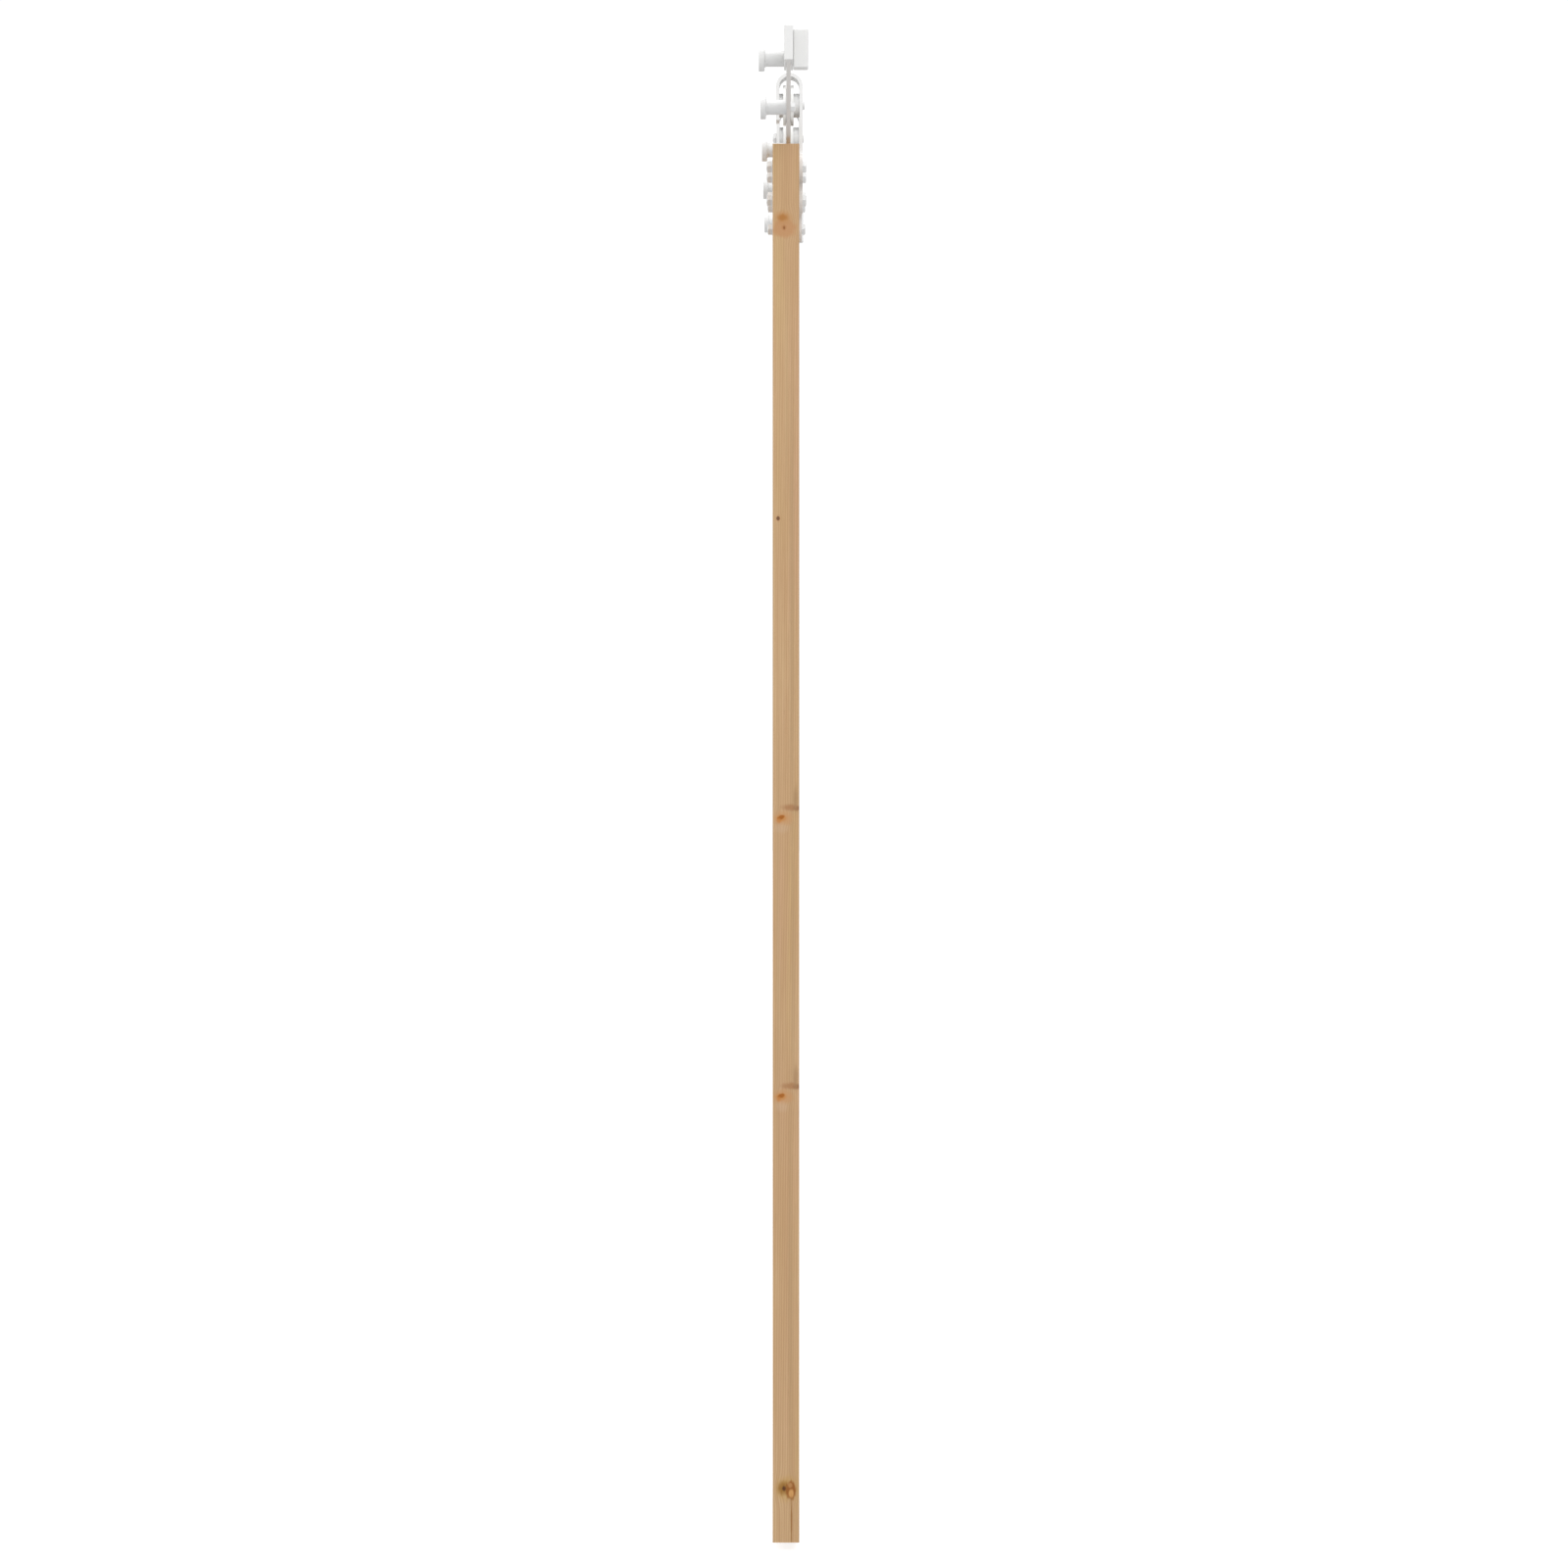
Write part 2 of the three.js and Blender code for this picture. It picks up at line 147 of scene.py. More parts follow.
def rounded(points, steps=5, closed=False):
    """Rounds the corners of a line of (a, b) or (a, b, radius) points."""
    out = []
    n = len(points)
    for i, p in enumerate(points):
        r = p[2] if len(p) > 2 else 0
        if r <= 0 or (not closed and i in (0, n - 1)):
            out.append((p[0], p[1]))
            continue
        c = Vector(p[:2])
        a = Vector(points[i - 1][:2]) - c
        b = Vector(points[(i + 1) % n][:2]) - c
        half = a.angle(b) / 2
        t = min(r / math.tan(half), a.length * 0.49, b.length * 0.49)
        r = t * math.tan(half)
        centre = c + (a.normalized() + b.normalized()).normalized() * (r / math.sin(half))
        s = c + a.normalized() * t - centre
        e = c + b.normalized() * t - centre
        turn = s.angle_signed(e)
        for k in range(steps + 1):
            f = -turn * k / steps
            q = Vector((s.x * math.cos(f) - s.y * math.sin(f), s.x * math.sin(f) + s.y * math.cos(f)))
            out.append((centre.x + q.x, centre.y + q.y))
    return out


def lathe(profile, x, z, segments=96, name="lathe"):
    """Solid of revolution about a line along Y, from (radius, y) points in mm.
    It closes on itself where the first radius isn't zero."""
    bm = bmesh.new()
    rings = []
    for r, y in profile:
        if r < 1e-6:
            rings.append([bm.verts.new((x * MM, y * MM, z * MM))])
        else:
            rings.append([bm.verts.new(((x + r * math.cos(2 * math.pi * k / segments)) * MM, y * MM,
                                        (z + r * math.sin(2 * math.pi * k / segments)) * MM)) for k in range(segments)])
    pairs = [(i, i + 1) for i in range(len(rings) - 1)]
    if len(rings[0]) > 1:
        pairs.append((len(rings) - 1, 0))
    for i, j in pairs:
        A, B = rings[i], rings[j]
        for k in range(segments):
            m = (k + 1) % segments
            if len(A) == 1:
                bm.faces.new((A[0], B[m], B[k]))
            elif len(B) == 1:
                bm.faces.new((A[k], A[m], B[0]))
            else:
                bm.faces.new((A[k], A[m], B[m], B[k]))
    bmesh.ops.recalc_face_normals(bm, faces=bm.faces)
    return link_mesh(name, bm)


def rod(r, y0, y1, x, z, segments=64):
    return lathe([(0, y0), (r, y0), (r, y1), (0, y1)], x, z, segments)


def hexagon(af, y0, y1, x, z, chamfer=0.0):
    """Hexagon with flats to top and bottom. A chamfer is turned on the y1 end."""
    r = af / math.sqrt(3)
    ob = prism([(x + r * math.cos(math.radians(60 * k)), z + r * math.sin(math.radians(60 * k))) for k in range(6)],
               "Y", min(y0, y1), max(y0, y1))
    if chamfer:
        s = 1 if y1 > y0 else -1
        big = r + 4
        tool = lathe([(0, y0 - s * 1), (big, y0 - s * 1), (big, y1 - s * (big - af / 2 + chamfer) * 0.577),
                      (af / 2 - chamfer, y1), (0, y1)], x, z, 96)
        boolean(ob, [tool], "INTERSECT")
    return ob


def from_node(node, width, segments=2, angle=34):
    """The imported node's own solid with its flat faces merged and its edges rounded."""
    bm = bmesh.new()
    bm.from_mesh(nodes[node].data)
    bmesh.ops.remove_doubles(bm, verts=bm.verts, dist=2e-6)
    bmesh.ops.dissolve_limit(bm, angle_limit=math.radians(0.6), verts=bm.verts, edges=bm.edges, delimit=set())
    bmesh.ops.recalc_face_normals(bm, faces=bm.faces)
    ob = link_mesh(node, bm)
    ob.data.materials.clear()
    return bevel(ob, width, segments, angle)


def finish_piece(ob, node, material):
    ob.name = node + "_finish"
    ob.data.name = ob.name
    ob.data.materials.clear()
    ob.data.materials.append(material)
    for p in ob.data.polygons:
        p.material_index = 0
    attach(ob, BODY[node])
    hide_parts(node)
    return ob


# -------------------------------------------------------------- material tools
class Graph:
    def __init__(self, tree):
        self.t = tree

    def node(self, kind, **props):
        n = self.t.nodes.new(kind)
        for k, v in props.items():
            setattr(n, k, v)
        return n

    def put(self, socket, value):
        if isinstance(value, bpy.types.NodeSocket):
            self.t.links.new(value, socket)
        else:
            socket.default_value = value

    def math(self, op, a, b=0.0, c=0.0, clamp=False):
        n = self.node("ShaderNodeMath", operation=op, use_clamp=clamp)
        for s, v in zip(n.inputs, (a, b, c)):
            self.put(s, v)
        return n.outputs[0]

    def vec(self, op, a, b=(0, 0, 0), scale=1.0):
        n = self.node("ShaderNodeVectorMath", operation=op)
        self.put(n.inputs[0], a)
        self.put(n.inputs[1], b)
        if op == "SCALE":
            self.put(n.inputs[3], scale)
        return n.outputs["Value"] if op in ("LENGTH", "DISTANCE", "DOT_PRODUCT") else n.outputs["Vector"]

    def split(self, v):
        n = self.node("ShaderNodeSeparateXYZ")
        self.put(n.inputs[0], v)
        return n.outputs[0], n.outputs[1], n.outputs[2]

    def combine(self, x, y, z):
        n = self.node("ShaderNodeCombineXYZ")
        for s, v in zip(n.inputs, (x, y, z)):
            self.put(s, v)
        return n.outputs[0]

    def noise(self, v, detail=2.0, rough=0.5, scale=1.0):
        n = self.node("ShaderNodeTexNoise", noise_dimensions="3D")
        self.put(n.inputs["Vector"], v)
        n.inputs["Scale"].default_value = scale
        n.inputs["Detail"].default_value = detail
        n.inputs["Roughness"].default_value = rough
        return n.outputs["Fac"]

    def step(self, x, low, high, to=(0.0, 1.0)):
        n = self.node("ShaderNodeMapRange", interpolation_type="SMOOTHSTEP")
        self.put(n.inputs["Value"], x)
        n.inputs["From Min"].default_value = low
        n.inputs["From Max"].default_value = high
        n.inputs["To Min"].default_value = to[0]
        n.inputs["To Max"].default_value = to[1]
        return n.outputs["Result"]

    def mix(self, f, a, b, blend="MIX"):
        n = self.node("ShaderNodeMix", data_type="RGBA", blend_type=blend)
        self.put(n.inputs[0], f)
        self.put(n.inputs[6], a if isinstance(a, bpy.types.NodeSocket) else (*a, 1))
        self.put(n.inputs[7], b if isinstance(b, bpy.types.NodeSocket) else (*b, 1))
        return n.outputs[2]

    def bump(self, height, strength, distance, before=None):
        n = self.node("ShaderNodeBump")
        n.inputs["Strength"].default_value = strength
        n.inputs["Distance"].default_value = distance
        self.put(n.inputs["Height"], height)
        if before is not None:
            self.put(n.inputs["Normal"], before)
        return n.outputs["Normal"]


def material(name):
    m = bpy.data.materials.new(name)
    m.use_nodes = True
    for n in list(m.node_tree.nodes):
        m.node_tree.nodes.remove(n)
    g = Graph(m.node_tree)
    out = g.node("ShaderNodeOutputMaterial")
    shader = g.node("ShaderNodeBsdfPrincipled")
    m.node_tree.links.new(shader.outputs["BSDF"], out.inputs["Surface"])
    co = g.vec("SCALE", g.node("ShaderNodeTexCoord").outputs["Object"], scale=1000.0)   # millimetres
    return m, g, shader, co


def coat(name, level, rough=0.42, peel=0.5, tint=(1.0, 1.0, 0.995), track=None):
    """White powder coat: fine orange peel, slow unevenness of tone and gloss, a
    few specks. track is where rolling wear greys it: a function of (g, co)."""
    m, g, shader, co = material(name)
    slow = g.noise(co, 3.0, 0.55, 0.012)
    mid = g.noise(co, 2.0, 0.5, 0.16)
    speck = g.step(g.noise(co, 1.0, 0.5, 0.9), 0.73, 0.78)
    base = tuple(level * t for t in tint)
    low = tuple(level * t * f for t, f in zip(tint, (0.955, 0.953, 0.945)))
    colour = g.mix(g.step(slow, 0.38, 0.66), base, low)
    colour = g.mix(g.math("MULTIPLY", g.step(mid, 0.45, 0.75), 0.35), colour, tuple(level * t * 0.93 for t in tint))
    colour = g.mix(g.math("MULTIPLY", speck, 0.12), colour, (0.42, 0.42, 0.41))
    roughness = g.math("ADD", rough - 0.06, g.math("MULTIPLY", mid, 0.14))
    if track is not None:
        worn = track(g, co)
        colour = g.mix(g.math("MULTIPLY", worn, 0.55), colour, (0.33, 0.33, 0.335))
        roughness = g.math("SUBTRACT", roughness, g.math("MULTIPLY", worn, 0.12))
    g.put(shader.inputs["Base Color"], colour)
    g.put(shader.inputs["Roughness"], roughness)
    n = g.bump(g.noise(co, 2.0, 0.55, peel), 0.22, 0.00009)
    n = g.bump(g.noise(co, 1.0, 0.5, 3.2), 0.06, 0.00003, n)
    g.put(shader.inputs["Normal"], n)
    return m


def rail_track(g, co):
    x, y, z = g.split(co)
    top = g.step(z, 19.2, 19.9)
    ends = g.math("SUBTRACT", 1.0, g.step(g.math("ABSOLUTE", x), 880.0, 915.0))
    streak = g.noise(g.vec("MULTIPLY", co, (0.02, 1.1, 0.6)), 3.0, 0.6)
    return g.math("MULTIPLY", g.math("MULTIPLY", top, ends), g.step(streak, 0.30, 0.72))


def wheel_track(centre):
    def track(g, co):
        rel = g.vec("SUBTRACT", co, centre)
        x, y, z = g.split(rel)
        r = g.math("SQRT", g.math("ADD", g.math("MULTIPLY", x, x), g.math("MULTIPLY", z, z)))
        inside = g.math("SUBTRACT", 1.0, g.step(r, 25.6, 27.6))
        outer = g.step(r, 24.9, 25.2)
        narrow = g.math("SUBTRACT", 1.0, g.step(g.math("ABSOLUTE", y), 2.6, 3.8))
        return g.math("MULTIPLY", g.math("MULTIPLY", inside, outer), narrow)
    return track


def nylon(name, centre):
    m, g, shader, co = material(name)
    slow = g.noise(co, 2.0, 0.5, 0.03)
    colour = g.mix(slow, (0.80, 0.80, 0.785), (0.75, 0.75, 0.73))
    worn = wheel_track(centre)(g, co)
    scuff = g.step(g.noise(g.vec("MULTIPLY", co, (0.5, 0.06, 0.5)), 3.0, 0.6), 0.58, 0.76)
    colour = g.mix(g.math("MULTIPLY", worn, 0.6), colour, (0.34, 0.335, 0.325))
    colour = g.mix(g.math("MULTIPLY", scuff, 0.14), colour, (0.55, 0.545, 0.53))
    g.put(shader.inputs["Base Color"], colour)
    g.put(shader.inputs["Roughness"], g.math("ADD", 0.34, g.math("MULTIPLY", slow, 0.16)))
    shader.inputs["Subsurface Weight"].default_value = 0.0
    g.put(shader.inputs["Normal"], g.bump(g.noise(co, 2.0, 0.5, 0.9), 0.12, 0.00006))
    return m


def steel(name):
    m, g, shader, co = material(name)
    rings = g.noise(g.vec("MULTIPLY", co, (0.3, 7.0, 0.3)), 2.0, 0.6)
    g.put(shader.inputs["Base Color"], g.mix(rings, (0.50, 0.505, 0.51), (0.64, 0.645, 0.65)))
    shader.inputs["Metallic"].default_value = 1.0
    g.put(shader.inputs["Roughness"], g.math("ADD", 0.22, g.math("MULTIPLY", rings, 0.2)))
    g.put(shader.inputs["Normal"], g.bump(rings, 0.1, 0.00004))
    return m


def rubber(name):
    m, g, shader, co = material(name)
    a = g.noise(co, 3.0, 0.6, 0.4)
    dust = g.step(g.noise(co, 4.0, 0.65, 0.11), 0.5, 0.8)
    colour = g.mix(a, (0.68, 0.68, 0.655), (0.63, 0.63, 0.60))
    g.put(shader.inputs["Base Color"], g.mix(g.math("MULTIPLY", dust, 0.25), colour, (0.46, 0.455, 0.43)))
    g.put(shader.inputs["Roughness"], g.math("ADD", 0.72, g.math("MULTIPLY", a, 0.2)))
    g.put(shader.inputs["Normal"], g.bump(g.noise(co, 2.0, 0.6, 1.6), 0.3, 0.00008))
    return m


def pine(name, grain, pith, seed, knots=(), blobs=(), taper=0.012, spacing=3.1, light=1.0, wave=1.0):
    """Solid-textured planed pine: growth rings round a pith line that runs with
    the grain, bent round each knot, with latewood lines, fibre streaks, resin
    dashes and darker end grain. Millimetres.
    knots: (centre, axis, radius, darkness). blobs: (centre, radii, colour, strength, edge)."""
    m, g, shader, co = material(name)
    p = co
    ratio = None
    dark_sum = None
    flow = co
    gi = 2 if grain == "Z" else 0
    for centre, axis, radius, dark in knots:
        a = Vector(axis).normalized()
        d = g.vec("SUBTRACT", p, centre)
        along = g.vec("SCALE", tuple(a), scale=g.vec("DOT_PRODUCT", d, tuple(a)))
        rad = g.vec("SUBTRACT", d, along)
        stretch = [1.0, 1.0, 1.0]
        stretch[gi] = 0.82
        k = g.math("DIVIDE", g.vec("LENGTH", g.vec("MULTIPLY", rad, tuple(stretch))), radius)
        w = g.math("EXPONENT", g.math("MULTIPLY", g.math("MULTIPLY", k, k), -0.30))
        side = [0.88, 0.88, 0.88]
        side[gi] = 0.25
        flow = g.vec("SUBTRACT", flow, g.vec("SCALE", g.vec("MULTIPLY", rad, tuple(side)), scale=w))
        if dark is None:      # bends the grain only
            continue
        near = g.math("MULTIPLY", g.math("SUBTRACT", 1.0, g.step(k, 0.7, 1.6)), dark)
        dark_sum = near if dark_sum is None else g.math("MAXIMUM", dark_sum, near)
        ratio = k if ratio is None else g.math("MINIMUM", ratio, k)

    def scaled(v, across, along):
        s = [across, across, across]
        s[gi] = along
        return g.vec("ADD", g.vec("MULTIPLY", v, tuple(s)), (seed * 7.31, seed * 3.77, seed * 5.13))

    fx, fy, fz = g.split(flow)
    u, w_axis = (fx, fz) if grain == "Z" else (fz, fx)
    big = g.math("MULTIPLY", g.math("SUBTRACT", g.noise(scaled(flow, 0.011, 0.0016), 2.0, 0.5), 0.5), 34.0 * wave)
    small = g.math("MULTIPLY", g.math("SUBTRACT", g.noise(scaled(flow, 0.045, 0.006), 3.0, 0.55), 0.5), 5.0 * wave)
    ru = g.math("ADD", g.math("SUBTRACT", u, pith[0]), big)
    rv = g.math("SUBTRACT", fy, pith[1])
    r = g.math("SQRT", g.math("ADD", g.math("MULTIPLY", ru, ru), g.math("MULTIPLY", rv, rv)))
    r = g.math("ADD", g.math("ADD", r, small), g.math("MULTIPLY", w_axis, taper))
    turn = g.math("FRACT", g.math("DIVIDE", r, spacing))
    late = g.math("MULTIPLY", g.step(turn, 0.30, 0.90), g.math("SUBTRACT", 1.0, g.step(turn, 0.93, 1.0)))
    band = g.noise(g.combine(g.math("MULTIPLY", r, 0.055), seed * 1.7, 0.0), 2.0, 0.6)
    late = g.math("MULTIPLY", late, g.step(band, 0.25, 0.75, (0.35, 1.0)))

    fibre = g.noise(scaled(p, 1.6, 0.02), 3.0, 0.6)
    streak = g.noise(scaled(flow, 0.30, 0.004), 3.0, 0.6)
    cloud = g.noise(scaled(p, 0.02, 0.003), 3.0, 0.55)
    dash = g.step(g.noise(scaled(flow, 1.3, 0.045), 1.0, 0.5), 0.70, 0.78)

    def c(r_, g_, b_):
        return (r_ * light * 0.985, g_ * light * 0.97, b_ * light * 0.885)

    early = g.mix(g.step(cloud, 0.32, 0.68), c(0.585, 0.405, 0.245), c(0.540, 0.350, 0.205))
    tint = g.noise(g.vec("ADD", scaled(p, 0.035, 0.0022), (31.0, 17.0, 5.0)), 2.0, 0.5)
    early = g.mix(g.step(tint, 0.30, 0.48, (0.55, 0.0)), early, c(0.590, 0.370, 0.255))
    early = g.mix(g.step(tint, 0.52, 0.70, (0.0, 0.60)), early, c(0.560, 0.395, 0.195))
    early = g.mix(g.step(streak, 0.35, 0.75, (0.0, 0.75)), early, c(0.490, 0.305, 0.170))
    colour = g.mix(g.math("MULTIPLY", late, 0.62), early, c(0.400, 0.222, 0.110))
    colour = g.mix(g.step(fibre, 0.40, 0.80, (0.0, 0.36)), colour, c(0.40, 0.25, 0.135))
    colour = g.mix(g.step(fibre, 0.15, 0.42, (0.30, 0.0)), colour, c(0.68, 0.51, 0.34))
    colour = g.mix(g.math("MULTIPLY", dash, 0.30), colour, c(0.30, 0.16, 0.08))
    height = g.math("ADD", g.math("MULTIPLY", fibre, 0.6), g.math("MULTIPLY", late, 0.5))

    if ratio is not None:
        ragged = g.math("ADD", ratio, g.math("MULTIPLY", g.math("SUBTRACT", g.noise(p, 3.0, 0.6, 0.22), 0.5), 0.35))
        halo = g.math("SUBTRACT", 1.0, g.step(ragged, 0.9, 2.1))
        colour = g.mix(g.math("MULTIPLY", halo, 0.55), colour, c(0.47, 0.25, 0.125))
        body = g.math("SUBTRACT", 1.0, g.step(ragged, 0.86, 1.04))
        rings = g.math("SINE", g.math("MULTIPLY", ragged, 22.0))
        inner = g.mix(g.step(rings, -0.6, 0.9), c(0.43, 0.215, 0.105), c(0.33, 0.15, 0.07))
        inner = g.mix(dark_sum, inner, c(0.105, 0.05, 0.026))
        colour = g.mix(body, colour, inner)
        rim = g.math("MULTIPLY", g.step(ragged, 0.80, 0.97), g.math("SUBTRACT", 1.0, g.step(ragged, 0.99, 1.12)))
        colour = g.mix(g.math("MULTIPLY", rim, g.math("ADD", 0.25, g.math("MULTIPLY", dark_sum, 0.5))), colour, c(0.15, 0.075, 0.04))
        height = g.math("SUBTRACT", height, g.math("MULTIPLY", rim, 0.7))

    for centre, radii, tone, strength, edge in blobs:
        d = g.vec("SUBTRACT", p, centre)
        k = g.vec("LENGTH", g.vec("DIVIDE", d, tuple(radii)))
        k = g.math("ADD", k, g.math("MULTIPLY", g.math("SUBTRACT", g.noise(scaled(p, 0.35, 0.10), 3.0, 0.6), 0.5), 0.8))
        f = g.math("MULTIPLY", g.math("SUBTRACT", 1.0, g.step(k, 1.0 - edge, 1.0 + edge)), strength)
        colour = g.mix(f, colour, tone)

    normal = g.node("ShaderNodeTexCoord").outputs["Normal"]
    end = g.step(g.math("ABSOLUTE", g.split(normal)[gi]), 0.72, 0.92)
    colour = g.mix(g.math("MULTIPLY", end, 0.75), colour, g.mix(late, c(0.43, 0.275, 0.155), c(0.24, 0.125, 0.06)))

    g.put(shader.inputs["Base Color"], colour)
    rough = g.math("ADD", 0.56, g.math("MULTIPLY", fibre, 0.2))
    g.put(shader.inputs["Roughness"], g.math("SUBTRACT", rough, g.math("MULTIPLY", late, 0.08)))
    shader.inputs["Specular IOR Level"].default_value = 0.22
    g.put(shader.inputs["Normal"], g.bump(height, 0.35, 0.00016))
    return m


# ------------------------------------------------------------------- materials
WHITE = 0.755
MAT = {
    "rail": coat("rail_coat", WHITE, 0.40, 0.45, track=rail_track),
    "standoff": coat("standoff_coat", WHITE * 0.99, 0.44, 0.55),
    "stop": coat("stop_coat", WHITE * 0.985, 0.46, 0.5),
    "hanger": coat("hanger_coat", WHITE, 0.42, 0.48),
    "fastener": coat("fastener_coat", WHITE * 0.95, 0.36, 0.8),
    "bearing": steel("bearing_steel"),
    "rubber": rubber("buffer_rubber"),
}
COAT_OF = {"rail_steel": "rail", "standoff_steel": "standoff", "stop_steel": "stop", "hanger_steel": "hanger",
           "fastener_white": "fastener", "bearing_steel": "bearing", "buffer_rubber": "rubber"}


def done(ob, node):
    return finish_piece(ob, node, MAT[COAT_OF[SLOT[node]]])


# the CAD's own measures, in millimetres
AXIS = -41.0
RAIL_FRONT, RAIL_BACK = -44.0, -38.0
HANGERS = (("left", -160.0), ("right", 196.0))
AXLE_Z = 45.5
ARM_X, ARM_Z, FOOT_Z = 59.5, -56.0, -99.5
ARCH_Y, ARCH_Z, ARCH_R, STRAP_T = -42.6, 72.3, 20.2, 5.0
FRONT, BACK = -57.4, -17.4
BOLTS = [(x + dx, z) for _, x in HANGERS for dx, z in ((-ARM_X, ARM_Z), (ARM_X, ARM_Z), (0.0, FOOT_Z))]

# ------------------------------------------------------------------------ rail
rail = block(-1000, 1000, RAIL_FRONT, RAIL_BACK, -20, 20)
cut(rail, *[rod(4.6, -50, -30, x, 0, 32) for x in (-900, -450, 0, 450, 900)],
    *[rod(3.4, -50, -30, x, 1, 32) for x in (-975, 975)])
done(bevel(rail, 0.8, 4), "rail")

for i, x in enumerate((-900.0, -450.0, 0.0, 450.0, 900.0), 1):
    body = lathe(rounded([(4.6, 0, 0.3), (17.5, 0, 0.6), (17.5, -8, 1.6), (11, -8, 2.2), (11, -37.98, 0.3), (4.6, -37.98, 0.3)],
                         6, True), x, 0, 96)
    done(smooth(body), f"standoff_{i}")

    under = -44.02
    head = hexagon(13, under - 0.8, -51.0, x, 0, 0.9)
    shank = lathe(rounded([(0, -1.0), (3.2, -1.0), (4, -1.9, 0.2), (4, under, 0), (8, under, 0.25), (8, under - 0.9, 0.3),
                           (6.2, under - 1.4, 0.2), (0, under - 1.4)], 4), x, 0, 64)
    done(smooth(join(bevel(head, 0.22, 2, 25), shank), 40), f"rail_bolt_{i}")

# ----------------------------------------------------------------------- stops
for side, s in (("left", -1), ("right", 1)):
    front, back = AXIS - 6.15, AXIS + 6.15
    sx = s * 975.0

    def around(a, b, lo, hi):
        """inverted U that sits over the rail"""
        u = prism(rounded([(front, lo, 0), (RAIL_FRONT - 0.3, lo, 0), (RAIL_FRONT - 0.3, 20.3, 0), (RAIL_BACK + 0.3, 20.3, 0),
                           (RAIL_BACK + 0.3, lo, 0), (back, lo, 0), (back, hi, 0.9), (front, hi, 0.9)], 4, True),
                  "X", min(a, b), max(a, b))
        return u

    full = block(min(s * 931, s * 1020), max(s * 931, s * 1020), front, back, -20, 27)
    slot_tool = block(min(s * 911, s * 1000.3), max(s * 911, s * 1000.3), RAIL_FRONT - 0.3, RAIL_BACK + 0.3, -25, 20.3)
    cut(full, slot_tool, rod(3.4, front - 2, back + 2, sx, 1, 32))
    done(bevel(full, 0.9, 4), f"stop_saddle_{side}")

    pad = around(s * 925.7, s * 930.98, -20, 27)
    done(bevel(pad, 0.8, 3, 60), f"stop_pad_{side}")

    b1 = front - 0.02
    b0 = front - 20.5
    clamp = block(min(s * 963, s * 987), max(s * 963, s * 987), b0, b1, -25.7, 27)
    bevel(clamp, 2.0, 5)
    cut(clamp, rod(3.4, b0 - 2, b1 + 2, sx, 1, 48), rod(5.5, b0 - 2, b0 + 7, sx, 1, 64))
    done(bevel(clamp, 0.4, 3, 50), f"stop_block_{side}")

    screw = lathe(rounded([(0, back - 0.2), (2.4, back - 0.2), (3, back - 0.9, 0.1), (3, b0 + 6.6, 0), (5, b0 + 6.6, 0.2),
                           (5, b0 + 0.6, 0.5), (0, b0 + 0.6)], 4), sx, 1, 64)
    cut(screw, hexagon(5, b0 - 1, b0 + 3.8, sx, 1))
    done(bevel(screw, 0.15, 2, 50), f"stop_screw_{side}")

